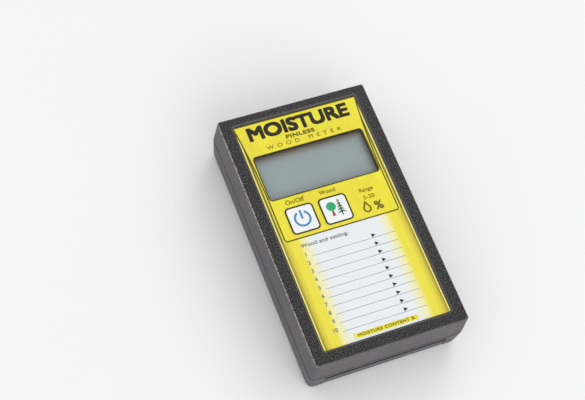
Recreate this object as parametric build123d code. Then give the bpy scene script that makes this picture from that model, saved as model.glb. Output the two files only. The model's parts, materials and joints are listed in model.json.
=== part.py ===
from build123d import *
import math
import os

# Hand-held pinless wood moisture meter, lying on its back.
#
# A two-part moulded case holds a display, two embossed keys over tactile switches, a main board,
# a sensing board behind the back wall and a 9 V battery in a bay with a sliding door. Units are
# millimetres. The origin is the centre of the footprint on the back face; +X is the meter's width,
# +Y runs to the display end and +Z comes out of its face.

# ---- Driving dimensions ----
WIDTH, LENGTH, DEPTH = 70.0, 120.0, 27.0
PARTING_Z = 13.0                    # height of the joint between the two shells
DRAFT = 0.6                         # how far each side stands out at the joint
TOP_CORNER_R, PARTING_CORNER_R, BASE_CORNER_R = 1.2, 1.8, 3.4  # upright corners, wider at the base
TOP_EDGE_R, BASE_EDGE_R = 0.6, 3.0
GROOVE_H, GROOVE_DEPTH = 0.7, 0.6   # shadow line where the shells meet
WALL = 2.2
INNER_CORNER_R, INNER_EDGE_R = 1.2, 1.0
ROOF_Z = DEPTH - 3.0                # inner face of the front panel
TONGUE_T, TONGUE_H = 1.0, 1.4       # lip of the back shell that locates the front shell
FIT = 0.15                          # clearance between moulded parts

# Overlay recess in the face
RECESS_DEPTH, RECESS_BEVEL = 1.0, 0.65
LABEL_W, LABEL_L, LABEL_T = 58.0, 109.7, 0.3
LABEL_Y = 0.6
LABEL_GAP = 0.3
FACE_Z = DEPTH - RECESS_DEPTH       # floor of the recess
SKIN_Z = FACE_Z + LABEL_T           # top of the overlay

# Display
DISPLAY_Y = 28.1
VIEW_W, VIEW_H, VIEW_R = 51.2, 21.8, 1.3
LENS_W, LENS_H, LENS_T = 54.6, 25.4, 1.0
GLASS_W, GLASS_H, GLASS_T = 56.0, 27.0, 1.1
GLASS_TOP = 23.5

# Keys
KEY_Y = 5.0
KEY_X = {"power": -15.6, "species": -0.1}
KEY_SIZE, KEY_R, KEY_GAP = 11.9, 1.5, 0.35
KEY_HOLE = KEY_SIZE + 2 * KEY_GAP
KEY_TOP = SKIN_Z + 0.55
KEY_FLANGE, KEY_FLANGE_T = 13.8, 0.9  # rim behind the front panel that keeps a key in
STEM_R = 2.25

# Boards
BOARD_T = 1.6
BOARD_TOP = 17.0
BOARD_BOTTOM = BOARD_TOP - BOARD_T
BOARD_W = 61.0
BOARD_Y0, BOARD_Y1 = -26.0, 56.0
SENSOR_W, SENSOR_L, SENSOR_Y = 46.0, 50.0, 22.0
SENSOR_Z = 2.5                      # underside of the sensing board
COVER_W, COVER_L, COVER_T = 50.0, 58.0, 0.9
REAR_LABEL_W, REAR_LABEL_L, REAR_LABEL_T, REAR_LABEL_Y = 40.0, 12.0, 0.2, -18.0
STAKES = [(sx * (SENSOR_W / 2 - 3), SENSOR_Y + sy * (SENSOR_L / 2 - 3)) for sx in (-1, 1) for sy in (-1, 1)]

# Case screws and board screws
BOSS_R = 3.8
CASE_SCREWS = [(sx * 28.6, y) for sx in (-1, 1) for y in (-23.5, 53.6)]
BOARD_SCREWS = [(sx * 22.0, y) for sx in (-1, 1) for y in (-16.0, 50.0)]
BOARD_BOSS_R = 3.0
SCREW_SEAT_Z, SCREW_HEAD_R, SCREW_HEAD_H, SCREW_CLEARANCE_R = 3.4, 2.7, 2.0, 1.6
CASE_SCREW_L, CASE_SCREW_R = 14.0, 1.15

# Battery bay, door and the 9 V battery lying across the meter
BAY_X = 28.0                        # half width of the bay
BAY_Y0, BAY_Y1 = -56.6, -29.2
BAY_TOP = 20.8
BAY_WALL = 1.2
DOOR_T = 2.0
DOOR_HALF = 28.2                    # half width of the door
DOOR_RAIL = 1.0                     # width of the case lip that each side of the door slides on
DOOR_GAP = 0.3
DOOR_TOP = 8.6                      # top of the door's end lip
DOOR_SLOT = 1.7                     # shadow gap above the lip
DOOR_HEEL_Z = 3.2                   # height of the thick corner between the door's plate and lip
DOOR_STEP_Z = 1.05                  # height where the door's plate widens
DOOR_TAB_X = 18.0
GRIP_LINES, GRIP_PITCH, GRIP_Y0, GRIP_DEPTH = 6, 1.8, -54.0, 0.45
FOAM_W, FOAM_X = 34.0, -4.0          # foam pad that steadies the battery
DOOR_RECESS = 0.15                  # how far the end lip is set back from the end of the case
BATTERY_L, BATTERY_W, BATTERY_H = 46.4, 26.5, 17.5
BATTERY_X0 = -27.4
BATTERY_Y = (BAY_Y0 + BAY_Y1) / 2
BATTERY_Z0 = 2.9

# Tactile switches
SWITCH_FLOOR = BOARD_TOP + 1.2      # bottom of the well inside a switch
SWITCH_RIM = BOARD_TOP + 2.9
SWITCH_TOP = BOARD_TOP + 4.4        # top of the plunger

# Battery leads
LEAD_R = 0.6
LEAD_X = 25.6                       # plane beside the battery in which both leads run
LEAD_GATE_Z = {"red": 13.6, "black": 11.4}


# ---- Helpers ----
def slab(w, l, z0, z1, r=0.0, x=0.0, y=0.0):
    """A plate with rounded plan corners, from z0 to z1."""
    outline = RectangleRounded(w, l, r) if r else Rectangle(w, l)
    return extrude(Pos(x, y, z0) * outline, z1 - z0)


def block(x0, x1, y0, y1, z0, z1):
    """A plain block between opposite corners."""
    return Pos((x0 + x1) / 2, (y0 + y1) / 2, (z0 + z1) / 2) * Box(x1 - x0, y1 - y0, z1 - z0)


def rod(x, y, z0, z1, r):
    """An upright cylinder."""
    return Pos(x, y, (z0 + z1) / 2) * Cylinder(r, z1 - z0)


def edges_at(part, z):
    """The edges that lie in the plane of height z."""
    return part.edges().filter_by_position(Axis.Z, z - 1e-3, z + 1e-3)


def ring(w, l, wall, z0, z1, r, x=0.0, y=0.0):
    """A rectangular frame of even wall."""
    inner = slab(w - 2 * wall, l - 2 * wall, z0, z1, max(r - wall, 0.3), x, y)
    return slab(w, l, z0, z1, r, x, y) - inner


def save(name, *solids):
    """Writes one node, as one solid or as a group of separate solids."""
    shape = solids[0] if len(solids) == 1 else Compound(children=list(solids))
    export_step(shape, f"parts/{name}.step")


# ---- Case ----
def cavity(z0, z1, grow=0.0):
    """The inside of the case, or of a wall standing grow outside it."""
    return slab(WIDTH - 2 * (WALL - grow), LENGTH - 2 * (WALL - grow), z0, z1, INNER_CORNER_R + grow)


def case_half(end_z, end_r):
    """Block from one end of the case to the joint, where it is wider by the draft."""
    end = Pos(0, 0, end_z) * RectangleRounded(WIDTH, LENGTH, end_r)
    joint_face = RectangleRounded(WIDTH + 2 * DRAFT, LENGTH + 2 * DRAFT, PARTING_CORNER_R)
    return loft([end, Pos(0, 0, PARTING_Z) * joint_face], ruled=True)


def front_shell():
    outer = case_half(DEPTH, TOP_CORNER_R)
    outer = fillet(edges_at(outer, DEPTH), TOP_EDGE_R)
    shell = outer - cavity(PARTING_Z, ROOF_Z)
    for x, y in CASE_SCREWS:
        shell += rod(x, y, PARTING_Z, ROOF_Z, BOSS_R)
    for x, y in BOARD_SCREWS:
        shell += rod(x, y, BOARD_TOP, ROOF_Z, BOARD_BOSS_R)
    for x in (-20.0, 0.0, 20.0):  # stiffening ribs under the list area
        shell += block(x - 0.5, x + 0.5, BAY_Y0, BOARD_Y0 - 1, ROOF_Z - 1.2, ROOF_Z)
    shell -= cavity(PARTING_Z, PARTING_Z + TONGUE_H + FIT, TONGUE_T + FIT)
    for x, y in CASE_SCREWS:
        shell -= rod(x, y, PARTING_Z, 20.0, 1.2)
    for x, y in BOARD_SCREWS:
        shell -= rod(x, y, BOARD_TOP, ROOF_Z - 1.0, 0.8)
    recess = slab(LABEL_W + 2 * LABEL_GAP, LABEL_L + 2 * LABEL_GAP, FACE_Z, DEPTH, 0.8, y=LABEL_Y)
    shell -= recess
    rim = [e for e in edges_at(shell, DEPTH) if abs(e.center().X) < LABEL_W / 2 + 1
           and abs(e.center().Y - LABEL_Y) < LABEL_L / 2 + 1]
    shell = chamfer(rim, RECESS_BEVEL)
    shell -= slab(LENS_W + 2 * FIT, LENS_H + 2 * FIT, FACE_Z - LENS_T, FACE_Z, 1.5, y=DISPLAY_Y)
    shell -= slab(VIEW_W + 0.2, VIEW_H + 0.2, ROOF_Z, FACE_Z, VIEW_R, y=DISPLAY_Y)
    for x in KEY_X.values():
        shell -= slab(KEY_HOLE, KEY_HOLE, ROOF_Z, FACE_Z, KEY_R + KEY_GAP, x, KEY_Y)
    return shell


def back_outline():
    """The outside of the case below the joint, with its rounded edge round the back."""
    outer = case_half(0, BASE_CORNER_R)
    return fillet(edges_at(outer, 0), BASE_EDGE_R)


def back_shell():
    outer = back_outline()
    groove_z = PARTING_Z - GROOVE_H
    groove = slab(WIDTH + 4, LENGTH + 4, groove_z, PARTING_Z)
    outer -= groove - cavity(groove_z, PARTING_Z, WALL + DRAFT - GROOVE_DEPTH)
    inside = cavity(WALL, PARTING_Z)
    shell = outer - fillet(edges_at(inside, WALL), INNER_EDGE_R)
    top = PARTING_Z + TONGUE_H
    shell += cavity(PARTING_Z - 0.5, top, TONGUE_T) - cavity(PARTING_Z - 0.5, top)
    bay_out = BAY_X + BAY_WALL
    shell += block(-bay_out, bay_out, BAY_Y0 - 1.0, BAY_Y1 + BAY_WALL, WALL - 0.2, BAY_TOP + BAY_WALL)
    for x, y in CASE_SCREWS:
        shell += rod(x, y, WALL - 0.2, PARTING_Z, BOSS_R)
        shell -= rod(x, y, 0, PARTING_Z, SCREW_CLEARANCE_R)
        shell -= rod(x, y, 0, SCREW_SEAT_Z, SCREW_HEAD_R + 0.4)
    shell -= block(-BAY_X, BAY_X, BAY_Y0, BAY_Y1, 0, BAY_TOP)
    shell -= door_opening()
    # Way out of the bay for the battery leads.
    shell -= block(LEAD_X - 1.1, LEAD_X + 1.1, BAY_Y1 - 1, BAY_Y1 + BAY_WALL + 1,
                   LEAD_GATE_Z["black"] - 1.0, LEAD_GATE_Z["red"] + 1.0)
    # Seats for the sensor cover and the rear label.
    shell -= slab(COVER_W + 2 * FIT, COVER_L + 2 * FIT, 0, COVER_T, 2.0, y=SENSOR_Y)
    shell -= slab(REAR_LABEL_W + 2 * FIT, REAR_LABEL_L + 2 * FIT, 0, REAR_LABEL_T + 0.05, 1.5, y=REAR_LABEL_Y)
    # Heat stakes that hold the sensing board.
    for x, y in STAKES:
        shell += rod(x, y, WALL - 0.2, SENSOR_Z, 2.4)
        shell += rod(x, y, WALL, SENSOR_Z + BOARD_T + 0.1, 0.95)
        shell += rod(x, y, SENSOR_Z + BOARD_T, SENSOR_Z + BOARD_T + 0.8, 1.8)
    return shell


def door_opening():
    """Room for the door: its outer plate, its wider inner plate, its two tabs and its end lip."""
    half = DOOR_HALF + DOOR_GAP
    room = block(-half + DOOR_RAIL, half - DOOR_RAIL, -LENGTH / 2, BAY_Y1, 0, WALL)
    room += block(-half, half, -LENGTH / 2, BAY_Y1, DOOR_STEP_Z - 0.1, WALL)
    room += block(-half, half, -LENGTH / 2 - DRAFT, -LENGTH / 2 + WALL, 0, DOOR_TOP + DOOR_SLOT)
    room += block(-half, half, -LENGTH / 2, BAY_Y0, 0, DOOR_HEEL_Z + DOOR_GAP)
    for side in (-1, 1):
        x = side * DOOR_TAB_X
        room += block(x - 3.3, x + 3.3, BAY_Y1 - 1, BAY_Y1 + 1.3, DOOR_STEP_Z - 0.1, WALL)
    return room


def sensor_cover():
    plate = slab(COVER_W, COVER_L, 0, COVER_T, 1.8, y=SENSOR_Y)
    return chamfer(edges_at(plate, 0), 0.2)


def rear_label():
    return slab(REAR_LABEL_W, REAR_LABEL_L, 0.05, REAR_LABEL_T + 0.05, 1.4, y=REAR_LABEL_Y)


def self_tapper(x, y, z_seat, length, shank_r, head_r, head_h):
    """A pan-head screw driven upwards, with a cross recess, its head below z_seat."""
    head = rod(x, y, z_seat - head_h, z_seat, head_r)
    head = fillet(edges_at(head, z_seat - head_h), head_h * 0.45)
    arm, depth = head_r * 0.55, head_h * 0.55
    for w, l in ((arm * 2, arm * 0.5), (arm * 0.5, arm * 2)):
        head -= block(x - w / 2, x + w / 2, y - l / 2, y + l / 2, z_seat - head_h, z_seat - head_h + depth)
    shank = rod(x, y, z_seat, z_seat + length, shank_r)
    return head + chamfer(edges_at(shank, z_seat + length), shank_r * 0.5)


def case_screws():
    return [self_tapper(x, y, SCREW_SEAT_Z, CASE_SCREW_L, CASE_SCREW_R, SCREW_HEAD_R, SCREW_HEAD_H)
            for x, y in CASE_SCREWS]


def board_screws():
    return [self_tapper(x, y, BOARD_BOTTOM, 6.0, 0.75, 2.0, 1.4) for x, y in BOARD_SCREWS]


# ---- Face: overlay, window and keys ----
def graphic_overlay():
    sheet = slab(LABEL_W, LABEL_L, FACE_Z, SKIN_Z, 0.6, y=LABEL_Y)
    sheet -= slab(VIEW_W, VIEW_H, FACE_Z, SKIN_Z, VIEW_R, y=DISPLAY_Y)
    rim = KEY_HOLE + 1.6
    for x in KEY_X.values():
        outline = RectangleRounded(rim, rim, KEY_R + 1.1)
        sheet += extrude(Pos(x, KEY_Y, FACE_Z + 0.1) * outline, LABEL_T + 0.2, taper=45)
        sheet -= slab(KEY_HOLE, KEY_HOLE, FACE_Z, DEPTH, KEY_R + KEY_GAP, x, KEY_Y)
    return sheet


def display_window():
    return slab(LENS_W, LENS_H, FACE_Z - LENS_T, FACE_Z, 1.4, y=DISPLAY_Y)


def key(x):
    pad = slab(KEY_SIZE, KEY_SIZE, ROOF_Z - 0.5, KEY_TOP, KEY_R, x, KEY_Y)
    pad = fillet(edges_at(pad, KEY_TOP), 0.45)
    flange_top = ROOF_Z - 0.05
    pad += slab(KEY_FLANGE, KEY_FLANGE, flange_top - KEY_FLANGE_T, flange_top, KEY_R, x, KEY_Y)
    return pad + rod(x, KEY_Y, SWITCH_TOP + 0.05, flange_top - 0.5, STEM_R)


def switch_base(x):
    return slab(6, 6, BOARD_TOP, SWITCH_RIM, 0.3, x, KEY_Y) - rod(x, KEY_Y, SWITCH_FLOOR, SWITCH_RIM, 2.5)


def switch_cover(x):
    plate = slab(6.2, 6.2, SWITCH_RIM, SWITCH_RIM + 0.3, 0.3, x, KEY_Y)
    return plate - rod(x, KEY_Y, SWITCH_RIM, SWITCH_RIM + 1, 1.9)


def switch_plunger(x):
    flange = rod(x, KEY_Y, SWITCH_FLOOR + 0.7, SWITCH_FLOOR + 1.5, 2.3)
    return flange + rod(x, KEY_Y, SWITCH_FLOOR + 1.5, SWITCH_TOP, 1.75)


def switch_dome(x):
    """Snap dome: a shallow spherical cap of even wall."""
    rise, half_span, wall = 0.6, 2.2, 0.12
    radius = (rise ** 2 + half_span ** 2) / (2 * rise)
    centre = SWITCH_FLOOR + rise + 0.02 - radius
    shell = Pos(x, KEY_Y, centre) * (Sphere(radius) - Sphere(radius - wall))
    return shell & rod(x, KEY_Y, SWITCH_FLOOR + 0.02, SWITCH_FLOOR + 1, 3.0)


def switch_terminals():
    """Four gull-wing feet on each switch."""
    feet = []
    for x in KEY_X.values():
        for sx in (-1, 1):
            for dy in (-2.25, 2.25):
                low, high = sorted((x + sx * 3.02, x + sx * 4.4))
                y = KEY_Y + dy
                feet.append(block(low, high, y - 0.35, y + 0.35, BOARD_TOP + 0.02, BOARD_TOP + 0.25))
    return feet


# ---- Display module ----
ZEBRA_Y = GLASS_H / 2 - 0.75


def lcd_glass(width, height, top):
    return slab(width, height, top - GLASS_T, top, 0.2, y=DISPLAY_Y)


def lcd_polarizer():
    return slab(GLASS_W - 1.0, GLASS_H - 1.0, GLASS_TOP + 0.01, GLASS_TOP + 0.2, 0.2, y=DISPLAY_Y)


def lcd_reflector():
    glass_bottom = GLASS_TOP - 2 * GLASS_T
    return slab(GLASS_W - 4, GLASS_H - 3.4, glass_bottom - 0.25, glass_bottom - 0.03, 0.2, y=DISPLAY_Y)


def lcd_carrier():
    """Moulded frame on the board that squares up the glass and presses it on the rubber connectors."""
    frame = slab(GLASS_W + 4, GLASS_H + 4, BOARD_TOP, ROOF_Z - 0.05, 1.0, y=DISPLAY_Y)
    frame -= slab(GLASS_W + 0.4, GLASS_H + 0.4, BOARD_TOP, GLASS_TOP + 0.22, 0.3, y=DISPLAY_Y)
    frame -= slab(VIEW_W + 1.6, VIEW_H + 1.6, BOARD_TOP, ROOF_Z, 1.0, y=DISPLAY_Y)
    ledge_top = GLASS_TOP - 2 * GLASS_T - 0.3
    for sx in (-1, 1):
        frame += block(*sorted((sx * 23.0, sx * 28.4)), DISPLAY_Y - 8, DISPLAY_Y + 8, BOARD_TOP, ledge_top)
    return frame


def zebra_strips():
    return [block(-25, 25, DISPLAY_Y + s * ZEBRA_Y - 0.55, DISPLAY_Y + s * ZEBRA_Y + 0.55,
                  BOARD_TOP, GLASS_TOP - GLASS_T) for s in (-1, 1)]


# ---- Main board and its parts ----
LINK_X, LINK_Y, LINK_PITCH, LINK_PINS = 8.0, 0.0, 2.54, 8
LEAD_PADS = {"red": (18.6, -21.0), "black": (15.2, -21.0)}


def link_points():
    first = LINK_X - LINK_PITCH * (LINK_PINS - 1) / 2
    return [(first + i * LINK_PITCH, LINK_Y) for i in range(LINK_PINS)]


def main_board():
    board = block(-BOARD_W / 2, BOARD_W / 2, BOARD_Y0, BOARD_Y1, BOARD_BOTTOM, BOARD_TOP)
    for x, y in CASE_SCREWS:  # corner notches round the case bosses
        notch = 2 * BOSS_R + 2
        board -= slab(notch, notch, BOARD_BOTTOM, BOARD_TOP, x=x, y=y + math.copysign(1.0, y))
    for x, y in BOARD_SCREWS:
        board -= rod(x, y, BOARD_BOTTOM, BOARD_TOP, 1.2)
    for x, y in link_points():
        board -= rod(x, y, BOARD_BOTTOM, BOARD_TOP, 0.55)
    return board


def sensor_board():
    board = slab(SENSOR_W, SENSOR_L, SENSOR_Z, SENSOR_Z + BOARD_T, 1.0, y=SENSOR_Y)
    for x, y in STAKES:
        board -= rod(x, y, SENSOR_Z, SENSOR_Z + BOARD_T, 1.1)
    for x, y in link_points():
        board -= rod(x, y, SENSOR_Z, SENSOR_Z + BOARD_T, 0.55)
    return board


def sensor_electrodes():
    """Copper sensing pads under the sensing board: a long bar inside an open frame."""
    z0, z1 = SENSOR_Z - 0.12, SENSOR_Z - 0.02
    y = SENSOR_Y + 2.0
    return [ring(34, 38, 4.0, z0, z1, 2.0, y=y), slab(12, 24, z0, z1, 1.5, y=y)]


def sensor_shield():
    """Pressed can over the oscillator on the sensing board."""
    z0 = SENSOR_Z + BOARD_T + 0.02
    can = slab(30, 24, z0, z0 + 4.2, 1.2, y=SENSOR_Y + 8)
    can = fillet(edges_at(can, z0 + 4.2), 0.6)
    can -= slab(29.4, 23.4, z0, z0 + 3.9, 0.9, y=SENSOR_Y + 8)
    for i in range(-2, 3):
        can -= rod(i * 4.5, SENSOR_Y + 8, z0 + 3, z0 + 5, 0.9)
    return can


def link_header():
    """Moulded bars of the pin header that joins the two boards."""
    length = LINK_PITCH * LINK_PINS
    bars = []
    for z0 in (SENSOR_Z + BOARD_T + 0.02, BOARD_BOTTOM - 2.52):
        bar = block(LINK_X - length / 2, LINK_X + length / 2, LINK_Y - 1.25, LINK_Y + 1.25, z0, z0 + 2.5)
        for x, y in link_points():
            bar -= block(x - 0.35, x + 0.35, y - 0.35, y + 0.35, z0, z0 + 2.5)
        bars.append(bar)
    return bars


def link_pins():
    z0, z1 = SENSOR_Z + 0.1, BOARD_TOP + 1.0
    return [block(x - 0.3, x + 0.3, y - 0.3, y + 0.3, z0, z1) for x, y in link_points()]


CHIP_X, CHIP_Y, CHIP_SIZE = -12.0, 26.0, 10.0


def microcontroller():
    body = slab(CHIP_SIZE, CHIP_SIZE, BOARD_BOTTOM - 2.1, BOARD_BOTTOM - 0.15, 0.3, CHIP_X, CHIP_Y)
    return body - rod(CHIP_X - 3.5, CHIP_Y + 3.5, BOARD_BOTTOM - 2.1, BOARD_BOTTOM - 1.95, 0.6)


def microcontroller_leads():
    leads, pitch, count = [], 0.8, 11
    z0, z1 = BOARD_BOTTOM - 0.25, BOARD_BOTTOM - 0.02
    near, far = CHIP_SIZE / 2 + 0.02, CHIP_SIZE / 2 + 1.1
    for i in range(count):
        d = (i - (count - 1) / 2) * pitch
        for side in (-1, 1):
            low, high = sorted((side * near, side * far))
            leads.append(block(CHIP_X + low, CHIP_X + high, CHIP_Y + d - 0.17, CHIP_Y + d + 0.17, z0, z1))
            leads.append(block(CHIP_X + d - 0.17, CHIP_X + d + 0.17, CHIP_Y + low, CHIP_Y + high, z0, z1))
    return leads


def crystal():
    can = slab(11.0, 4.6, BOARD_BOTTOM - 3.6, BOARD_BOTTOM - 0.1, 2.2, 12.0, 34.0)
    return fillet(edges_at(can, BOARD_BOTTOM - 3.6), 0.5)


def filter_capacitor():
    can = rod(-20.0, -6.0, BOARD_BOTTOM - 7.5, BOARD_BOTTOM - 0.05, 3.15)
    return fillet(edges_at(can, BOARD_BOTTOM - 7.5), 0.5)


def voltage_regulator():
    body = slab(6.5, 3.5, BOARD_BOTTOM - 1.8, BOARD_BOTTOM - 0.1, 0.2, 14.0, -14.0)
    tab = block(12.5, 15.5, -12.23, -10.6, BOARD_BOTTOM - 0.35, BOARD_BOTTOM - 0.05)
    return [body, tab]


def chip_parts():
    """Chip resistors and capacitors in short rows on the underside."""
    rows = [(-24.0, 12.0, 5), (4.0, 20.0, 6), (-4.0, -18.0, 5), (18.0, 44.0, 3)]
    return [block(x0 + i * 3.0, x0 + i * 3.0 + 2.0, y - 0.6, y + 0.6, BOARD_BOTTOM - 0.7, BOARD_BOTTOM - 0.02)
            for x0, y, n in rows for i in range(n)]


# ---- Battery, its connector and leads ----
def battery_can():
    x1 = BATTERY_X0 + BATTERY_L
    y0, y1 = BATTERY_Y - BATTERY_W / 2, BATTERY_Y + BATTERY_W / 2
    can = block(BATTERY_X0, x1, y0, y1, BATTERY_Z0, BATTERY_Z0 + BATTERY_H)
    return fillet(can.edges().filter_by(Axis.X), 2.4)


SNAP_Z = BATTERY_Z0 + BATTERY_H / 2
SNAP_DY = 6.35                      # half the distance between the two battery studs
SNAP_BASE = BATTERY_X0 + BATTERY_L


def across(x0, x1, y, r, z=SNAP_Z):
    """A cylinder along X."""
    return Pos((x0 + x1) / 2, y, z) * Rot(0, 90, 0) * Cylinder(r, x1 - x0)


def positive_stud():
    return across(SNAP_BASE + 0.01, SNAP_BASE + 2.2, BATTERY_Y - SNAP_DY, 2.9)


def negative_stud():
    y = BATTERY_Y + SNAP_DY
    cup = across(SNAP_BASE + 0.01, SNAP_BASE + 2.2, y, 4.0)
    return cup - across(SNAP_BASE + 0.5, SNAP_BASE + 2.3, y, 3.2)


CONNECTOR_X0, CONNECTOR_X1 = SNAP_BASE + 2.3, SNAP_BASE + 4.6


def snap_connector():
    body = block(CONNECTOR_X0, CONNECTOR_X1, BATTERY_Y - 12.4, BATTERY_Y + 12.4, SNAP_Z - 6.0, SNAP_Z + 6.0)
    return fillet(body.edges().filter_by(Axis.X), 4.0)


def snap_contacts():
    """The socket that grips the small stud and the stud that fills the large cup."""
    x0 = SNAP_BASE + 0.6
    grip = across(x0, CONNECTOR_X0 - 0.02, BATTERY_Y - SNAP_DY, 3.9)
    grip -= across(x0 - 0.1, CONNECTOR_X0, BATTERY_Y - SNAP_DY, 3.0)
    return [grip, across(x0, CONNECTOR_X0 - 0.02, BATTERY_Y + SNAP_DY, 2.9)]


def lead(name):
    """One battery lead: out of the connector, a slack dip beside it, and up to its pad on the main board."""
    leave_y, leave_z = {"red": (-49.0, 15.4), "black": (-46.0, 8.6)}[name]
    dip_y, dip_z = {"red": (-39.5, 9.4), "black": (-39.0, 4.4)}[name]
    gate_z = LEAD_GATE_Z[name]
    pad_x, pad_y = LEAD_PADS[name]
    path = lead_path([
        (CONNECTOR_X1 + LEAD_R / 2, leave_y, leave_z),
        (LEAD_X, leave_y + 0.8, leave_z),
        (LEAD_X, dip_y, dip_z),
        (LEAD_X, BAY_Y1 - 2.6, gate_z - 0.4),
        (LEAD_X, BAY_Y1 + 1.9, gate_z),
        (pad_x + 2.4, pad_y - 1.6, gate_z),
        (pad_x, pad_y, BOARD_BOTTOM - LEAD_R),
    ])
    tube = sweep(Plane(origin=path @ 0, z_dir=path % 0) * Circle(LEAD_R), path=path)
    straight_volume = math.pi * LEAD_R ** 2 * path.length
    print(name, "lead length", round(path.length, 1), "volume share", round(tube.volume / straight_volume, 3))
    return tube


def lead_path(route):
    """Straight runs joined by arcs, each as large as its two runs allow."""
    points = [Vector(*p) for p in route]
    radii = []
    for a, b, c in zip(points, points[1:], points[2:]):
        turn = math.radians((b - a).get_angle(c - b))
        shorter = min((b - a).length, (c - b).length)
        radii.append(0.45 * shorter / math.tan(turn / 2))
    print("  radii", [round(r, 1) for r in radii])
    return FilletPolyline(*points, radius=radii)


# ---- Battery door ----
def battery_door():
    """Plate with a narrower outer layer, an end lip, two tabs, grip grooves and an arrow. Its outside
    is the case's own, set back a little at the end."""
    y1 = BAY_Y1 - DOOR_GAP
    outer_half = DOOR_HALF - DOOR_RAIL
    lip_back = -LENGTH / 2 + WALL - DOOR_GAP
    door = block(-DOOR_HALF, DOOR_HALF, -LENGTH / 2 - DRAFT, lip_back, 0, DOOR_TOP)
    door += block(-DOOR_HALF, DOOR_HALF, lip_back - 0.1, BAY_Y0 - DOOR_GAP, 0, DOOR_HEEL_Z)
    door += block(-outer_half, outer_half, lip_back - 0.1, y1, 0, DOOR_T)
    door += block(-DOOR_HALF, DOOR_HALF, lip_back - 0.1, y1, DOOR_STEP_Z, DOOR_T)
    door &= Pos(0, DOOR_RECESS, 0) * back_outline()
    for side in (-1, 1):
        x = side * DOOR_TAB_X
        door += block(x - 3.0, x + 3.0, y1 - 1, y1 + 1.2, DOOR_STEP_Z, DOOR_T)
    for i in range(GRIP_LINES):
        door -= slab(22.0, 0.9, 0, GRIP_DEPTH, 0.4, y=GRIP_Y0 + i * GRIP_PITCH)
    arrow_y = GRIP_Y0 + GRIP_LINES * GRIP_PITCH + 2.0
    arrow = Polygon((-3.0, arrow_y + 3.4), (0.0, arrow_y), (3.0, arrow_y + 3.4), align=None)
    return door - extrude(arrow, GRIP_DEPTH)


def door_foam():
    return slab(FOAM_W, 14.0, DOOR_T + 0.02, BATTERY_Z0 - DOOR_GAP, 1.0, x=FOAM_X, y=BATTERY_Y)


def main():
    os.makedirs("parts", exist_ok=True)
    save("front_shell", front_shell())
    save("back_shell", back_shell())
    save("sensor_cover", sensor_cover())
    save("rear_label", rear_label())
    save("case_screws", *case_screws())
    save("board_screws", *board_screws())
    save("graphic_overlay", graphic_overlay())
    save("display_window", display_window())
    for name, x in KEY_X.items():
        save(f"{name}_key", key(x))
        save(f"{name}_switch_base", switch_base(x))
        save(f"{name}_switch_cover", switch_cover(x))
        save(f"{name}_switch_plunger", switch_plunger(x))
        save(f"{name}_switch_dome", switch_dome(x))
    save("switch_terminals", *switch_terminals())
    save("lcd_polarizer", lcd_polarizer())
    save("lcd_front_glass", lcd_glass(GLASS_W, GLASS_H, GLASS_TOP))
    save("lcd_rear_glass", lcd_glass(GLASS_W, GLASS_H - 2.8, GLASS_TOP - GLASS_T - 0.02))
    save("lcd_reflector", lcd_reflector())
    save("lcd_carrier", lcd_carrier())
    save("zebra_strips", *zebra_strips())
    save("main_board", main_board())
    save("microcontroller", microcontroller())
    save("microcontroller_leads", *microcontroller_leads())
    save("crystal", crystal())
    save("filter_capacitor", filter_capacitor())
    save("voltage_regulator", *voltage_regulator())
    save("chip_parts", *chip_parts())
    save("sensor_board", sensor_board())
    save("sensor_electrodes", *sensor_electrodes())
    save("sensor_shield", sensor_shield())
    save("link_header", *link_header())
    save("link_pins", *link_pins())
    save("battery_can", battery_can())
    save("battery_positive_stud", positive_stud())
    save("battery_negative_stud", negative_stud())
    save("snap_connector", snap_connector())
    save("snap_contacts", *snap_contacts())
    save("red_lead", lead("red"))
    save("black_lead", lead("black"))
    save("battery_door", battery_door())
    save("door_foam", door_foam())


main()
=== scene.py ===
# Looks of a hand-held pinless moisture meter: a dark two-part case, a recessed yellow overlay with a written
# list, two white keys and a grey display. Flat print is a thin solid on the surface that carries it.
# Layout values are millimetres on the face, from the middle of the case, +Y towards the display.

import json
import math

import bpy
from mathutils import Matrix, Vector


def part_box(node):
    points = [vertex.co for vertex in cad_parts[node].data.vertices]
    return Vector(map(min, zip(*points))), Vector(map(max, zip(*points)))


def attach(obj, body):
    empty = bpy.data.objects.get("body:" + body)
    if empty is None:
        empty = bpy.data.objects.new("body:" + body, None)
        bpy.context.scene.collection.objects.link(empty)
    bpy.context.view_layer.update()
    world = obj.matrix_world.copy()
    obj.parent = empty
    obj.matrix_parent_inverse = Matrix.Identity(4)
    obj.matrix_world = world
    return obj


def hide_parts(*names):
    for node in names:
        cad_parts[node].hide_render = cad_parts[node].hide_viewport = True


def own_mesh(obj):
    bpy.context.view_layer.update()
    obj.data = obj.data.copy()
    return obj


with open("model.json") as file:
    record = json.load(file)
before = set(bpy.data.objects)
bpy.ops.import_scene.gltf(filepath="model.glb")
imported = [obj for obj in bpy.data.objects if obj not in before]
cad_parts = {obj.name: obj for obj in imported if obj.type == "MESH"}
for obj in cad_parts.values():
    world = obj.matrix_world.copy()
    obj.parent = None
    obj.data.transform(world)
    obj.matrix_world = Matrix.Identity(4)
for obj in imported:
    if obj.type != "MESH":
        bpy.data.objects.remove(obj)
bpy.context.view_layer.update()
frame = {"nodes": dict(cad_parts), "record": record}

MM = 0.001

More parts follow.
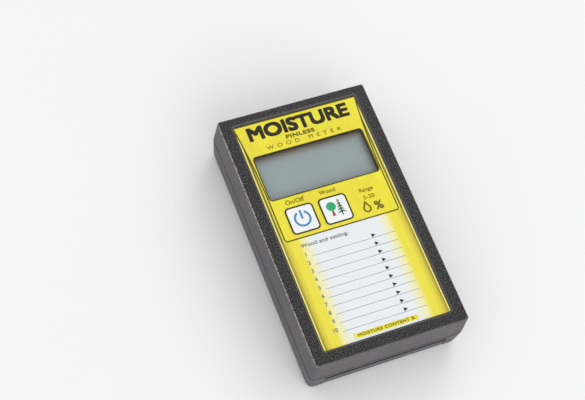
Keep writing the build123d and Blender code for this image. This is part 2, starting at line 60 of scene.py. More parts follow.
# ---- Driving dimensions ----
FILM_T = 0.3                                  # thickness of the overlay film
INK_T = 0.03                                  # thickness of printed ink
COPY_STEP = 0.003                             # rise from one copy of heavy text to the next
SKIN_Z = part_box("graphic_overlay")[0].z / MM + FILM_T
KEY_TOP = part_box("power_key")[1].z / MM
FACE_Y = sum(p.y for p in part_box("graphic_overlay")) / 2 / MM
LABEL_W = (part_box("graphic_overlay")[1].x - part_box("graphic_overlay")[0].x) / MM
LABEL_L = (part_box("graphic_overlay")[1].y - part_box("graphic_overlay")[0].y) / MM

# Display: middle, width, height and corner radius, and its dark line at the sides and foot and at the top.
DISPLAY_Y, VIEW_W, VIEW_H, VIEW_R = 28.1, 51.2, 21.8, 1.3
DISPLAY_LINE, DISPLAY_LINE_TOP = 0.6, 0.3

# Keys: the hole in the film, the embossed rim round it and the line printed on the rim.
KEYS = ("power_key", "species_key")
KEY_HOLE, KEY_HOLE_R = 12.6, 1.85
RIM_W, RIM_LINE = 0.85, 0.25

# Yellow panel: its right side, lower edge and lower corners, and its upper sides, which curve out to the top.
PANEL_X, PANEL_BOTTOM, PANEL_R = 26.9, -3.5, 1.5
FLARE_Y, FLARE_REACH, FLARE_POWER, FLARE_STEPS = 14.0, 2.6, 2.2, 12
PANEL_LINE = 0.62

# Written list: its rows, its lines, the numbers on the left (10 is wider) and the arrows on the right.
LIST_TOP, LIST_STEP, LIST_ROWS = -12.5, 4.0, 10
LIST_X0, LIST_X1, LIST_LINE = -18.2, 20.6, 0.24
NUMBER_X, TEN_X = -20.4, -21.1
ARROW_X, ARROW_LENGTH = 10.1, 1.9

# Power sign on its key: outer and inner radius of the ring, and where its gap ends and begins, in degrees.
RING_R, RING_INNER_R, RING_START, RING_END = 3.85, 2.9, 118, 422

# Round tree on the second key: radius, depth and number of the waves of its crown, and points on its outline.
CROWN_R, CROWN_WAVE, CROWN_LOBES, CROWN_POINTS = 2.15, 0.12, 9, 56

# Case: the joint and the groove under it, where its face begins above the joint, the door's lip, how far the
# painted shade on the lip runs down and in from the low end, and where the painted highlights on the outer
# edges begin and how far they fade in.
JOINT_Z, JOINT_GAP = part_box("front_shell")[0].z / MM, 0.7
FACE_RISE = 5
DOOR_LIP_Z, DOOR_EDGE_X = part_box("battery_door")[1].z / MM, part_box("battery_door")[1].x / MM
LIP_SHADE, LIP_SHADE_IN = 1.3, 0.6
END_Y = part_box("battery_door")[0].y / MM + LIP_SHADE_IN
HIGHLIGHT_X, HIGHLIGHT_Y, HIGHLIGHT_FADE = -33.9, 58.9, 0.3


def centre(node):
    """Middle of a CAD node in plan, in millimetres."""
    low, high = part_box(node)
    return (low.x + high.x) / 2 / MM, (low.y + high.y) / 2 / MM


# ---- Colours ----
BLACK, WHITE = (0, 0, 0), (1, 1, 1)
# Painted shade for the case's groove, its ledges and the top of the door's lip.
PAINTED_GAP_SHADE = (0.005, 0.005, 0.005)
YELLOW = (0.745, 0.665, 0.043)
DEEP_YELLOW = (0.60, 0.50, 0.03)
PALE_YELLOW = (0.80, 0.72, 0.17)
OLIVE = (0.36, 0.30, 0.02)
DARK_OLIVE = (0.13, 0.10, 0.008)
# The film's cut edges, painted dark as shade in the gaps round the film and its holes.
FILM_EDGE_SHADE = (0.035, 0.027, 0.012)
CREAM = (0.78, 0.75, 0.36)
PAPER = (0.72, 0.75, 0.78)
# Painted brown shadow along the display's upper and right edges.
DISPLAY_EDGE_SHADOW = (0.20, 0.15, 0.085)
# Painted shade on the keys' sides, in the gap round each key.
KEY_GAP_SHADE = (0.035, 0.028, 0.012)
# Case sides: far lighter than the face, as a painted sheen.
CASE_SIDE_SHEEN = (0.086, 0.081, 0.085)
CASE_FACE = (0.0085, 0.0079, 0.0083)
# Painted highlight on the outer edges of the case's face.
CASE_EDGE_HIGHLIGHT = (0.42, 0.40, 0.40)


def scaled(color, factor):
    """A colour made lighter or darker."""
    return tuple(c * factor for c in color)


# ---- Materials ----
class Finish:
    """A Principled material and the node chains that give it its detail."""

    def __init__(self, name, color, roughness, metallic=0.0, specular=0.5):
        self.material = bpy.data.materials.new(name)
        self.material.use_nodes = True
        self.tree = self.material.node_tree
        self.shader = self.tree.nodes["Principled BSDF"]
        self.shader.inputs["Base Color"].default_value = (*color, 1)
        self.shader.inputs["Roughness"].default_value = roughness
        self.shader.inputs["Metallic"].default_value = metallic
        self.shader.inputs["Specular IOR Level"].default_value = specular
        self.place = self.tree.nodes.new("ShaderNodeTexCoord").outputs["Object"]

    def node(self, kind, inputs=(), **settings):
        """Adds a node; inputs is a list of (socket, value or output to link)."""
        node = self.tree.nodes.new(kind)
        for key, value in settings.items():
            setattr(node, key, value)
        for socket, value in inputs:
            self.feed(node.inputs[socket], value)
        return node

    def feed(self, socket, value):
        if isinstance(value, bpy.types.NodeSocket):
            self.tree.links.new(value, socket)
        else:
            socket.default_value = value

    def noise(self, grain_mm, detail=2.0, stretch=(1, 1, 1)):
        """Noise whose features are about grain_mm across, from 0 to 1."""
        scaled = self.node("ShaderNodeMapping", [("Vector", self.place), ("Scale", stretch)])
        inputs = [("Vector", scaled.outputs[0]), ("Scale", 1 / (grain_mm * MM)), ("Detail", detail)]
        return self.node("ShaderNodeTexNoise", inputs).outputs[0]

    def ramp(self, value, stops):
        """Colours at positions along a value from 0 to 1."""
        node = self.node("ShaderNodeValToRGB", [("Fac", value)])
        while len(node.color_ramp.elements) < len(stops):
            node.color_ramp.elements.new(0.5)
        for element, (position, color) in zip(node.color_ramp.elements, stops):
            element.position = position
            element.color = (*color, 1)
        return node.outputs[0]

    def span(self, value, low, high, to_low=0.0, to_high=1.0):
        """Maps low..high to to_low..to_high, held at both ends."""
        inputs = [("Value", value), ("From Min", low), ("From Max", high)]
        inputs += [("To Min", to_low), ("To Max", to_high)]
        return self.node("ShaderNodeMapRange", inputs).outputs[0]

    def axis(self, letter, absolute=False):
        """A place coordinate in millimetres."""
        split = self.node("ShaderNodeSeparateXYZ", [("Vector", self.place)])
        inputs = [(0, split.outputs[letter]), (1, 1 / MM)]
        value = self.node("ShaderNodeMath", inputs, operation="MULTIPLY").outputs[0]
        if absolute:
            value = self.node("ShaderNodeMath", [(0, value)], operation="ABSOLUTE").outputs[0]
        return value

    def mix(self, factor, a, b, blend="MIX"):
        node = self.node("ShaderNodeMix", data_type="RGBA", blend_type=blend)
        for socket, value in ((node.inputs[0], factor), (node.inputs[6], a), (node.inputs[7], b)):
            self.feed(socket, (*value, 1) if isinstance(value, tuple) else value)
        return node.outputs[2]

    def both(self, a, b):
        """Where two masks are both on."""
        return self.mix(1.0, a, b, "MULTIPLY")

    def either(self, a, b):
        """Where at least one of two masks is on."""
        return self.mix(1.0, a, b, "LIGHTEN")

    def upward(self):
        """How far the surface faces up: 1 when level, 0 when upright, below 0 when it looks down."""
        normal = self.node("ShaderNodeNewGeometry").outputs["Normal"]
        return self.node("ShaderNodeSeparateXYZ", [("Vector", normal)]).outputs["Z"]

    def color(self, output):
        self.feed(self.shader.inputs["Base Color"], output)
        return self

    def roughness(self, output):
        self.feed(self.shader.inputs["Roughness"], output)
        return self

    def bump(self, height, depth_mm, strength=1.0):
        inputs = [("Height", height), ("Distance", depth_mm * MM), ("Strength", strength)]
        self.feed(self.shader.inputs["Normal"], self.node("ShaderNodeBump", inputs).outputs[0])
        return self


def mottled(name, color, roughness, grain=0.5, amount=0.12, depth=0.01, metallic=0.0, specular=0.5):
    """A plain moulded or printed material: slight colour and gloss variation and a fine surface."""
    finish = Finish(name, color, roughness, metallic, specular)
    fine = finish.noise(grain)
    broad = finish.noise(grain * 25)
    dark = scaled(color, 1 - amount)
    light = tuple(min(1.0, c * (1 + amount)) for c in color)
    finish.color(finish.ramp(broad, [(0.3, dark), (0.7, light)]))
    finish.roughness(finish.span(broad, 0.3, 0.7, roughness * 0.9, min(1.0, roughness * 1.12)))
    return finish.bump(fine, depth)


def case_plastic(name, side, face, edge_highlight):
    """Moulded case: coarse grain on the face, its bright specks partly painted glints; satin sides with
    faint draw lines, coloured far lighter than the face as a painted sheen; painted shade in the gaps; and
    painted highlights on the outer edges of the face on the left and at the display end."""
    finish = Finish(name, side, 0.45, specular=0.4)
    height = finish.axis("Z")
    upward = finish.upward()
    level = finish.span(upward, 0.9, 0.985)
    on_face = finish.both(level, finish.span(height, JOINT_Z + FACE_RISE, JOINT_Z + FACE_RISE + 1))

    grain = finish.noise(0.5, 2.0)
    # Bright specks on the face: grain tone, partly painted glints.
    grain_and_glints = finish.ramp(grain, [(0.42, scaled(face, 0.2)), (0.5, face), (0.57, scaled(face, 3)),
                                 (0.66, scaled(face, 14))])
    broad = finish.noise(14.0)
    draw = finish.noise(3.0, 2.0, (1.0, 0.06, 1.6))
    # The sides' colour, far lighter than the face's, is a painted sheen, mottled with faint draw lines.
    satin = finish.ramp(finish.mix(0.5, broad, draw), [(0.3, scaled(side, 0.8)), (0.7, scaled(side, 1.25))])

    slope = finish.span(upward, 0, 1)
    on_edge = finish.ramp(slope, [(0.08, BLACK), (0.3, WHITE), (0.86, WHITE), (0.96, BLACK)])
    at_left = finish.span(finish.axis("X"), HIGHLIGHT_X, HIGHLIGHT_X - HIGHLIGHT_FADE)
    at_end = finish.span(finish.axis("Y"), HIGHLIGHT_Y, HIGHLIGHT_Y + HIGHLIGHT_FADE)
    outer_edge = finish.both(on_edge, finish.either(at_left, at_end))
    # Painted highlight on the outer edges at the left and at the display end, broken up by noise.
    painted_edge_highlight = finish.both(outer_edge, finish.span(finish.noise(0.9), 0.42, 0.56, 0.15, 1.0))

    # Painted shade: level ledges below the joint, the groove under it, and the top of the door's lip at the
    # low end.
    above_lip = finish.span(height, DOOR_LIP_Z - 0.2, DOOR_LIP_Z - 0.1)
    shaded_ledge = finish.both(level, finish.both(above_lip, finish.span(height, JOINT_Z + 0.5, JOINT_Z)))
    groove_z = JOINT_Z - JOINT_GAP
    groove = finish.both(finish.span(height, groove_z - 0.05, groove_z + 0.05),
                         finish.span(height, JOINT_Z, JOINT_Z - 0.05))
    lip_shade_band = finish.both(finish.span(height, DOOR_LIP_Z - LIP_SHADE, DOOR_LIP_Z - LIP_SHADE + 1),
                          finish.span(height, DOOR_LIP_Z + 0.2, DOOR_LIP_Z + 0.1))
    at_door = finish.both(finish.span(finish.axis("Y"), END_Y + 0.5, END_Y),
                          finish.span(finish.axis("X", absolute=True), DOOR_EDGE_X + 0.2, DOOR_EDGE_X))
    gap = finish.either(finish.either(shaded_ledge, groove), finish.both(lip_shade_band, at_door))

    surface = finish.mix(painted_edge_highlight, finish.mix(on_face, satin, grain_and_glints), edge_highlight)
    finish.color(finish.mix(gap, surface, PAINTED_GAP_SHADE))
    gloss = finish.mix(outer_edge, finish.span(grain, 0.35, 0.65, 0.65, 0.4), (0.3, 0.3, 0.3))
    finish.roughness(finish.mix(gap, gloss, WHITE))
    return finish.bump(grain, 0.2, finish.span(on_face, 0, 1, 0.10, 1.0))


def list_film():
    """Overlay film: yellow round the display, and below it white that fades through cream to yellow and
    olive. Each stop's place is in millimetres from the middle of the film to its side."""
    finish = Finish("list_film", PAPER, 0.36)
    edge = LABEL_W / 2
    across = finish.span(finish.axis("X", absolute=True), 0, edge)
    stripe = [(28.25, DARK_OLIVE), (28.45, PALE_YELLOW)]
    below = [(14.8, PAPER), (19.5, CREAM), (21.5, YELLOW), (24.6, YELLOW), (26.8, DEEP_YELLOW), (27.9, OLIVE)]
    beside = [(0, YELLOW), (27.3, YELLOW), (27.7, DARK_OLIVE)]
    lower = finish.ramp(across, [(place / edge, color) for place, color in below + stripe])
    upper = finish.ramp(across, [(place / edge, color) for place, color in beside + stripe])
    in_panel = finish.span(finish.axis("Y"), PANEL_BOTTOM, PANEL_BOTTOM + 0.3)
    # The film's cut edges are painted dark, as shade in the gaps.
    shaded_cut_edge = finish.span(finish.upward(), 0.35, 0.15)
    finish.color(finish.mix(shaded_cut_edge, finish.mix(in_panel, lower, upper), FILM_EDGE_SHADE))
    finish.roughness(finish.span(finish.noise(18.0), 0.3, 0.7, 0.32, 0.42))
    return finish.bump(finish.noise(0.4), 0.004)


def key_plastic():
    """Key caps: a faintly cloudy white top, and sides painted dark as shade in the gap round each key."""
    finish = Finish("key_cap", (0.70, 0.71, 0.72), 0.38)
    height = finish.axis("Z")
    tone = finish.ramp(finish.noise(5.0), [(0.3, (0.74, 0.76, 0.77)), (0.7, (0.82, 0.83, 0.82))])
    # Below its top the key is painted dark, as shade in the gap.
    finish.color(finish.mix(finish.span(height, KEY_TOP - 0.22, KEY_TOP - 0.08), KEY_GAP_SHADE, tone))
    return finish.bump(finish.noise(0.4), 0.004)


def ink(name, color, roughness=0.42):
    return mottled(name, color, roughness, grain=0.3, amount=0.06, depth=0.002, specular=0.25)


def display_film():
    """Blank liquid-crystal display: grey-green, with a painted brown shadow along its upper and right edges.
    """
    finish = Finish("display_film", (0.21, 0.25, 0.25), 0.35)
    cloud = finish.ramp(finish.noise(11.0), [(0.3, (0.300, 0.362, 0.376)), (0.7, (0.324, 0.383, 0.393))])
    top, side = DISPLAY_Y + VIEW_H / 2, VIEW_W / 2
    # Painted shadow along the top and right edges, where the window's walls shade the display.
    near_top = finish.span(finish.axis("Y"), top - 6, top)
    top_edge_shadow = finish.ramp(near_top, [(0.0, BLACK), (0.5, scaled(WHITE, 0.12)), (0.8, scaled(WHITE, 0.5)),
                                        (1.0, WHITE)])
    side_edge_shadow = finish.span(finish.axis("X"), side - 3.0, side, 0.0, 0.5)
    finish.color(finish.mix(finish.either(top_edge_shadow, side_edge_shadow), cloud, DISPLAY_EDGE_SHADOW))
    return finish.bump(finish.noise(6.0), 0.01)


def clear_window():
    """Clear acrylic: mostly see-through, with a gloss of its own."""
    finish = mottled("clear_window", (0.16, 0.17, 0.17), 0.12, grain=9.0, amount=0.02, depth=0.002)
    finish.shader.inputs["Alpha"].default_value = 0.06
    return finish


def board_finish():
    """Green solder resist over copper traces."""
    finish = Finish("solder_resist", (0.01, 0.12, 0.05), 0.3)
    inputs = [("Vector", finish.place), ("Scale", 180.0)]
    cells = finish.node("ShaderNodeTexVoronoi", inputs, distance="MANHATTAN")
    trace = finish.span(cells.outputs[0], 0.35, 0.4)
    finish.color(finish.mix(trace, (0.008, 0.10, 0.04), (0.02, 0.19, 0.07)))
    return finish.bump(trace, 0.03)


def battery_finish():
    """Printed battery jacket: black with a copper-coloured end."""
    finish = Finish("battery_jacket", (0.02, 0.02, 0.02), 0.3, metallic=0.4)
    along = finish.span(finish.axis("X"), -28, 20)
    finish.color(finish.ramp(along, [(0.70, (0.02, 0.02, 0.022)), (0.705, (0.75, 0.7, 0.6)),
                                     (0.72, (0.62, 0.29, 0.10))]))
    return finish.bump(finish.noise(3.0), 0.02)


FINISHES = {
    "case_plastic": case_plastic("case_plastic", CASE_SIDE_SHEEN, CASE_FACE, CASE_EDGE_HIGHLIGHT),
    "cover_plastic": mottled("cover_plastic", (0.05, 0.05, 0.052), 0.5, depth=0.05),
    "overlay_film": list_film(),
    "label_film": mottled("label_film", (0.55, 0.56, 0.57), 0.35, metallic=0.6),
    "window": clear_window(),
    "key_cap": key_plastic(),
    "lcd_film": display_film(),
    "lcd_glass": mottled("lcd_glass", (0.5, 0.56, 0.54), 0.1),
    "reflector": mottled("reflector", (0.7, 0.71, 0.72), 0.4, metallic=0.8),
    "white_plastic": mottled("white_plastic", (0.6, 0.6, 0.58), 0.5),
    "conductive_rubber": mottled("conductive_rubber", (0.05, 0.045, 0.04), 0.7),
    "board": board_finish(),
    "chip_plastic": mottled("chip_plastic", (0.015, 0.015, 0.016), 0.55, grain=0.15),
    "chip_ceramic": mottled("chip_ceramic", (0.35, 0.24, 0.13), 0.5, grain=0.2),
    "tinned_metal": mottled("tinned_metal", (0.7, 0.7, 0.68), 0.3, grain=0.3, metallic=1.0),
    "spring_steel": mottled("spring_steel", (0.6, 0.6, 0.6), 0.2, grain=0.3, metallic=1.0),
    "screw_steel": mottled("screw_steel", (0.32, 0.32, 0.33), 0.35, grain=0.25, amount=0.2, metallic=1.0),
    "copper": mottled("copper", (0.75, 0.36, 0.18), 0.35, metallic=1.0),
    "capacitor_sleeve": mottled("capacitor_sleeve", (0.02, 0.03, 0.09), 0.3),
    "battery_jacket": battery_finish(),
    "vinyl_black": mottled("vinyl_black", (0.012, 0.012, 0.012), 0.45, grain=0.8, depth=0.03),
    "vinyl_red": mottled("vinyl_red", (0.45, 0.012, 0.012), 0.4, grain=0.8, depth=0.03),
    "foam": mottled("foam", (0.04, 0.04, 0.042), 0.95, grain=0.5, amount=0.4, depth=0.3),
}
BLACK_INK = ink("black_ink", (0.018, 0.015, 0.008))
BROWN_INK = ink("brown_ink", (0.27, 0.205, 0.002))
BAND_INK = ink("band_ink", (0.15, 0.115, 0.003))
GREY_INK = ink("grey_ink", (0.19, 0.20, 0.21))
LINE_INK = ink("line_ink", (0.30, 0.31, 0.36))
LINE_BROWN = ink("outline_ink", (0.10, 0.078, 0.004))
BLUE_INK = ink("blue_ink", (0.040, 0.25, 0.46))
LEAF_INK = ink("leaf_ink", (0.025, 0.34, 0.13))
PINE_INK = ink("pine_ink", (0.020, 0.11, 0.06))
TRUNK_INK = ink("trunk_ink", (0.28, 0.05, 0.02))
PANEL_INK = ink("panel_ink", YELLOW, 0.36)


def dress_nodes():
    """Gives every CAD node the finish of its material slot."""
    for part in frame["record"]["subparts"]:
        node = frame["nodes"][part["node"]]
        node.data.materials.clear()
        node.data.materials.append(FINISHES[part["material_slot"]].material)


def snap_domes():
    """The dome in each switch flattens under its key; here it becomes a piece of its own on the case."""
    for key in ("power", "species"):
        node = frame["nodes"][key + "_switch_dome"]
        dome = bpy.data.objects.new(key + "_snap_dome", node.data.copy())
        bpy.context.scene.collection.objects.link(dome)
        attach(dome, "case")
        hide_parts(node.name)
        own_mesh(dome)


# ---- Flat print ----
def arc(x, y, radius, start, end, steps=10):
    """Points on an arc; angles in degrees, anticlockwise from +X."""
    angles = [math.radians(start + (end - start) * i / steps) for i in range(steps + 1)]
    return [(x + radius * math.cos(a), y + radius * math.sin(a)) for a in angles]


def rounded(x, y, width, height, radius):
    """Outline of a rounded rectangle about its middle."""
    w, h = width / 2 - radius, height / 2 - radius
    corners = ((w, h, 0), (-w, h, 90), (-w, -h, 180), (w, -h, 270))
    return [p for dx, dy, turn in corners for p in arc(x + dx, y + dy, radius, turn, turn + 90)]


def bar(x0, y0, x1, y1):
    return [(x0, y0), (x1, y0), (x1, y1), (x0, y1)]


def solid_from(curve, name, z, body, finish):
    """Turns a flat curve or text into a mesh at height z (mm) that rides on a body."""
    source = bpy.data.objects.new(name + "_source", curve)
    bpy.context.scene.collection.objects.link(source)
    mesh = bpy.data.meshes.new_from_object(source.evaluated_get(bpy.context.evaluated_depsgraph_get()))
    bpy.data.objects.remove(source)
    piece = bpy.data.objects.new(name, mesh)
    bpy.context.scene.collection.objects.link(piece)
    mesh.transform(Matrix.Translation((0, 0, z * MM)))
    mesh.materials.clear()
    mesh.materials.append(finish.material)
    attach(piece, body)
    return piece


def printed(name, outlines, finish, z=SKIN_Z, body="case"):
    """Filled outlines, where one inside another is a hole, as a thin solid standing on height z."""
    curve = bpy.data.curves.new(name, "CURVE")
    curve.dimensions = "2D"
    curve.fill_mode = "BOTH"
    curve.extrude = INK_T / 2 * MM
    for outline in outlines:
        spline = curve.splines.new("POLY")
        spline.points.add(len(outline) - 1)
        for point, (x, y) in zip(spline.points, outline):
            point.co = (x * MM, y * MM, 0, 1)
        spline.use_cyclic_u = True
    return solid_from(curve, name, z + INK_T / 2, body, finish)


def words(name, lines, finish, z=SKIN_Z + INK_T, heavy=0.0):
    """Printed text. lines holds (text, middle x, base y, height, width or 0 for natural, letter spacing), in
    mm; heavy thickens every stroke by that much, with shifted copies that each lie a hair above the last."""
    shifts = [(0, 0)]
    if heavy:
        shifts = [(i * heavy / 2, j * heavy / 2) for i in (-1, -0.33, 0.33, 1) for j in (-1, 0, 1)]
    pieces = []
    for text, x, y, height, width, spacing in lines:
        curve = bpy.data.curves.new(name, "FONT")
        curve.body = text
        curve.space_character = spacing
        curve.extrude = INK_T / 2 * MM
        for layer, (dx, dy) in enumerate(shifts):
            piece = solid_from(curve, name, z + INK_T / 2 + layer * COPY_STEP, "case", finish)
            fit_plan(piece.data, x + dx, y + heavy / 2 + dy, height - heavy, width - heavy if width else 0)
            pieces.append(piece)
    return join(pieces, name)


def fit_plan(mesh, x, y, height, width):
    """Scales a mesh in plan about its middle x and its base y; with no width its shape stays as it is."""
    xs = [v.co.x for v in mesh.vertices]
    ys = [v.co.y for v in mesh.vertices]
    middle, low = (min(xs) + max(xs)) / 2, min(ys)
    tall = height * MM / (max(ys) - low)
    wide = width * MM / (max(xs) - min(xs)) if width else tall
    for vertex in mesh.vertices:
        vertex.co.x = x * MM + (vertex.co.x - middle) * wide
        vertex.co.y = y * MM + (vertex.co.y - low) * tall


def join(pieces, name):
    """One object from several that share a body and a finish."""
    if len(pieces) > 1:
        bpy.ops.object.select_all(action="DESELECT")
        for piece in pieces:
            piece.select_set(True)
        bpy.context.view_layer.objects.active = pieces[0]
        bpy.ops.object.join()
    pieces[0].name = name
    return pieces[0]


# ---- The face ----
def panel_side():
    """Right side of the panel from its lower corner up: straight, then curving out to the top corner."""
    side = [(PANEL_X, PANEL_BOTTOM + PANEL_R), (PANEL_X, FLARE_Y)]
    top = LABEL_L / 2 + FACE_Y
    for i in range(1, FLARE_STEPS + 1):
        t = i / FLARE_STEPS
        side.append((PANEL_X + FLARE_REACH * t ** FLARE_POWER, FLARE_Y + (top - FLARE_Y) * t))
    return side


def panel_outline(inset=0.0):
    """Outline of the yellow panel, drawn in by inset."""
    right = [(x - inset, y) for x, y in panel_side()]
    right[-1] = (right[-1][0], right[-1][1] - inset)
    corner = arc(PANEL_X - PANEL_R, PANEL_BOTTOM + PANEL_R, PANEL_R - inset, 270, 360, 6)
    half = corner[:-1] + right
    return half + [(-x, y) for x, y in reversed(half)]


def face_panel():
    """The yellow panel round the display and keys, its dark outline, and the dark line round the display."""
    display = rounded(0, DISPLAY_Y, VIEW_W, VIEW_H, VIEW_R)
    rim = KEY_HOLE + 2 * RIM_W
    holes = [display] + [rounded(*centre(key), rim, rim, KEY_HOLE_R + 0.8) for key in KEYS]
    printed("panel_print", [panel_outline(PANEL_LINE)] + holes, PANEL_INK)
    printed("panel_line", [panel_outline(), panel_outline(PANEL_LINE)], LINE_BROWN)
    width, height = VIEW_W + 2 * DISPLAY_LINE, VIEW_H + DISPLAY_LINE + DISPLAY_LINE_TOP
    outer = rounded(0, DISPLAY_Y - (DISPLAY_LINE - DISPLAY_LINE_TOP) / 2, width, height, VIEW_R + 0.5)
    printed("display_line", [outer, display], LINE_BROWN, SKIN_Z + INK_T)


def key_rims():
    """The dark line printed round each key on its embossed rim."""
    rim_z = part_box("graphic_overlay")[1].z / MM
    for key in KEYS:
        x, y = centre(key)
        size = KEY_HOLE + 2 * RIM_LINE
        line = [rounded(x, y, size, size, KEY_HOLE_R + 0.2), rounded(x, y, KEY_HOLE, KEY_HOLE, KEY_HOLE_R)]
        printed(key + "_line", line, LINE_BROWN, rim_z)


def wordmark():
    """Everything written above the list: title, captions of the keys, and the range with its signs."""
    words("title_print", [("MOISTURE", -0.1, 46.6, 7.0, 47.9, 1.0)], BLACK_INK, heavy=0.8)
    words("title_band", [("PINLESS", -1.3, 43.6, 2.0, 13.6, 1.1)], BAND_INK, heavy=0.25)
    words("subtitle_print", [("WOOD METER", -0.5, 40.8, 1.9, 35.4, 2.0)], BROWN_INK, heavy=0.08)
    captions = [("On/Off", -15.8, 13.0, 2.2, 0, 1.0), ("Wood", -0.6, 13.3, 2.0, 0, 1.1)]
    words("key_captions", captions, BROWN_INK, heavy=0.14)
    marks = [("Range", 16.2, 8.6, 2.5, 0, 1.05), ("5-30", 16.2, 5.5, 2.0, 0, 1.1)]
    words("range_print", marks, BROWN_INK, heavy=0.14)
    words("percent_print", [("%", 18.9, -0.6, 4.2, 0, 1.0)], BAND_INK, heavy=0.3)
    printed("drop_print", [drop(13.4, 1.2, 1.9), drop(13.4, 1.2, 1.15)], BAND_INK, SKIN_Z + INK_T)


def drop(x, y, radius):
    """Outline of a water drop about its round end."""
    return arc(x, y, radius, 155, 385, 20) + [(x, y + radius * 2.1)]


def written_list():
    """Ten ruled lines with a number and an arrow each, the heading above them and the strip at their foot."""
    rows = [LIST_TOP - LIST_STEP * i for i in range(LIST_ROWS)]
    half = LIST_LINE / 2
    printed("list_lines", [bar(LIST_X0, y - half, LIST_X1, y + half) for y in rows], LINE_INK)
    tip = ARROW_X + ARROW_LENGTH
    arrows = [[(ARROW_X, y + 0.3), (tip, y + 1.2), (ARROW_X, y + 2.1)] for y in rows]
    printed("list_arrows", arrows, BLACK_INK)
    numbers = [(str(i + 1), NUMBER_X if i < 9 else TEN_X, y + 0.5, 1.8, 0, 1.0) for i, y in enumerate(rows)]
    words("list_numbers", numbers, GREY_INK, SKIN_Z, heavy=0.1)
    words("list_heading", [("Wood and setting:", -10.2, -8.3, 2.3, 21.8, 1.05)], GREY_INK, SKIN_Z, heavy=0.1)
    printed("list_foot", [rounded(0, -52.1, 29.6, 2.3, 1.14)], PANEL_INK)
    words("foot_print", [("MOISTURE CONTENT %", 0, -52.75, 1.4, 26.0, 1.1)], BAND_INK, heavy=0.08)


def power_icon():
    """An open ring with a bar in its gap, on the first key."""
    x, y = centre("power_key")
    outer = arc(x, y, RING_R, RING_START, RING_END, 40)
    inner = arc(x, y, RING_INNER_R, RING_START, RING_END, 40)
    printed("power_ring", [outer + inner[::-1]], BLUE_INK, KEY_TOP, "power_key")
    printed("power_bar", [rounded(x, y + 2.05, 0.95, 4.3, 0.3)], BLUE_INK, KEY_TOP, "power_key")


def tree_icons():
    """A round tree in front of a conifer, on the second key."""
    x, y = centre("species_key")

    def shape(name, outlines, finish, layer=0):
        printed(name, outlines, finish, KEY_TOP + layer * INK_T / 2, "species_key")

    crown_x, crown_y = x - 1.7, y + 1.6
    crown = []
    for i in range(CROWN_POINTS):
        turn = math.tau * i / CROWN_POINTS
        radius = CROWN_R + CROWN_WAVE * math.cos(CROWN_LOBES * turn)
        crown.append((crown_x + radius * math.cos(turn), crown_y + radius * math.sin(turn)))
    shape("tree_crown", [crown], LEAF_INK, 1)
    foot, neck = y - 3.0, y - 0.4
    trunk = [(crown_x - 0.7, foot), (crown_x + 0.75, foot), (crown_x + 0.3, neck), (crown_x - 0.3, neck)]
    shape("tree_trunk", [trunk], TRUNK_INK)
    pine_x, tiers = x + 2.15, 5
    for i in range(tiers):
        low, half = y - 2.4 + 1.35 * i, 2.1 - 0.34 * i
        tier = [(pine_x - half, low), (pine_x, low + 0.35), (pine_x + half, low), (pine_x, low + 1.45)]
        shape(f"pine_tier_{i + 1}", [tier], PINE_INK, 1)
    shape("pine_trunk", [bar(pine_x - 0.28, y - 3.7, pine_x + 0.28, y + 2.0)], PINE_INK)


# ---- The back ----
def back_printed(name, outlines, finish, z, texts=()):
    """Print on a face that looks down: made as on the face, then turned over so that it reads from below."""
    pieces = [printed(name, outlines, finish, 0.0, "case")]
    pieces += [words(name, [text], finish, 0.0, heavy=0.15) for text in texts]
    whole = join(pieces, name)
    for vertex in whole.data.vertices:
        vertex.co.x = -vertex.co.x
        vertex.co.z = z * MM - vertex.co.z
    return whole


def rear_print():
    """Frame, battery picture and voltage on the rear label, and corner marks round the sensing area."""
    y = centre("rear_label")[1]
    outlines = [rounded(0, y, 38.4, 10.4, 1.0), rounded(0, y, 37.8, 9.8, 0.7),
                rounded(-12.5, y - 0.4, 9.0, 5.4, 0.4), rounded(-12.5, y - 0.4, 8.2, 4.6, 0.2),
                bar(-15.6, y + 2.35, -14.0, y + 3.2), bar(-11.4, y + 2.35, -9.0, y + 3.2),
                bar(-15.4, y - 0.6, -13.8, y - 0.25), bar(-11.2, y - 0.6, -9.6, y - 0.25),
                bar(-10.6, y - 1.2, -10.2, y - 0.62), bar(-10.6, y - 0.23, -10.2, y + 0.35)]
    low_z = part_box("rear_label")[0].z / MM
    back_printed("rear_label_print", outlines, BLACK_INK, low_z,
                 [("9 V", -2.0, y - 2.4, 4.6, 0, 1.0), ("WOOD METER", 10.2, y - 0.8, 1.4, 14.0, 1.1)])
    x, y, reach, line = *centre("sensor_cover"), 6.0, 0.5
    marks = []
    for sx in (-1, 1):
        for sy in (-1, 1):
            cx, cy = x + sx * 20.0, y + sy * 24.0
            marks.append(bar(cx, cy, cx - sx * reach, cy - sy * line))
            marks.append(bar(cx, cy - sy * line, cx - sx * line, cy - sy * reach))
    marks += [bar(-3.0, y - line / 2, 3.0, y + line / 2), bar(-line / 2, y + line / 2, line / 2, y + 3.0),
              bar(-line / 2, y - 3.0, line / 2, y - line / 2)]
    back_printed("sensing_marks", marks, GREY_INK, 0.0)


# ---- Surroundings, lights and camera ----
# Metres for the floor and the lights, and millimetres and degrees for the camera.
FLOOR_SIZE, FLOOR_Z = 6, -0.0001
SKY_STRENGTH = 0.915
KEY_LIGHT_PLACE, KEY_LIGHT_SIZE, KEY_LIGHT_POWER = (1.4, 1.7, 1.5), 0.9, 9.5
FILL_LIGHT_PLACE, FILL_LIGHT_SIZE, FILL_LIGHT_POWER = (0.1, -1.7, 1.0), 1.8, 14.5
CAMERA_PLACE, CAMERA_AIM, CAMERA_ROLL = (-189.9, -226.0, 589.4), (-16.7, 14.5, 27.0), 16.4
CAMERA_LENS, CAMERA_SENSOR = 90.9, 36


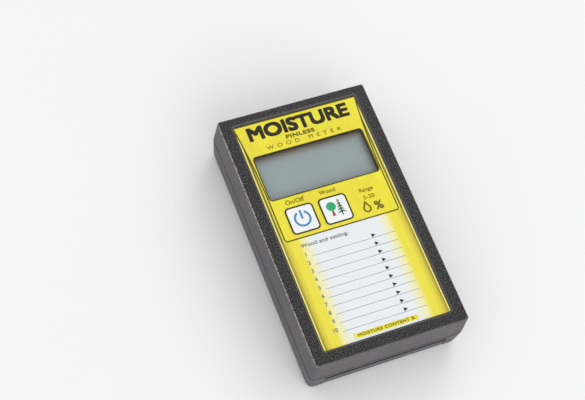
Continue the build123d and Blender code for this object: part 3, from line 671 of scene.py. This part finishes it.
def studio():
    """A large pale floor under an even white sky, with a key light behind and a fill light in front."""
    bpy.ops.mesh.primitive_plane_add(size=FLOOR_SIZE, location=(0, 0, FLOOR_Z))
    floor = bpy.context.object
    floor.name = "floor"
    surface = mottled("floor_paper", (0.82, 0.82, 0.825), 0.7, grain=6.0, amount=0.01, depth=0.02)
    floor.data.materials.append(surface.material)
    world = bpy.data.worlds.new("studio")
    world.use_nodes = True
    sky = world.node_tree.nodes["Background"]
    sky.inputs["Color"].default_value = (*WHITE, 1)
    sky.inputs["Strength"].default_value = SKY_STRENGTH
    bpy.context.scene.world = world
    bpy.context.scene.view_settings.view_transform = "Standard"
    soft_light("key_light", KEY_LIGHT_PLACE, KEY_LIGHT_SIZE, KEY_LIGHT_POWER)
    soft_light("fill_light", FILL_LIGHT_PLACE, FILL_LIGHT_SIZE, FILL_LIGHT_POWER, glossy=False)


def soft_light(name, place, size, power, glossy=True):
    """A square lamp that points at the origin; one that isn't glossy makes no highlights."""
    data = bpy.data.lights.new(name, "AREA")
    data.size = size
    data.energy = power
    light = bpy.data.objects.new(name, data)
    light.location = place
    light.rotation_euler = (-Vector(place)).to_track_quat("-Z", "Y").to_euler()
    light.visible_glossy = glossy
    bpy.context.scene.collection.objects.link(light)


def camera():
    """The photo's view of the object."""
    place = Vector(CAMERA_PLACE) * MM
    aim = Vector(CAMERA_AIM) * MM
    roll = math.radians(CAMERA_ROLL)
    back = (place - aim).normalized()
    level_right = Vector((0, 0, 1)).cross(back).normalized()
    level_up = back.cross(level_right)
    right = level_right * math.cos(roll) + level_up * math.sin(roll)
    up = back.cross(right)
    data = bpy.data.cameras.new("camera")
    data.lens = CAMERA_LENS
    data.sensor_width = CAMERA_SENSOR
    view = bpy.data.objects.new("camera", data)
    view.matrix_world = Matrix.Translation(place) @ Matrix((right, up, back)).transposed().to_4x4()
    bpy.context.scene.collection.objects.link(view)
    bpy.context.scene.camera = view


dress_nodes()
snap_domes()
face_panel()
key_rims()
wordmark()
written_list()
power_icon()
tree_icons()
rear_print()
studio()
camera()
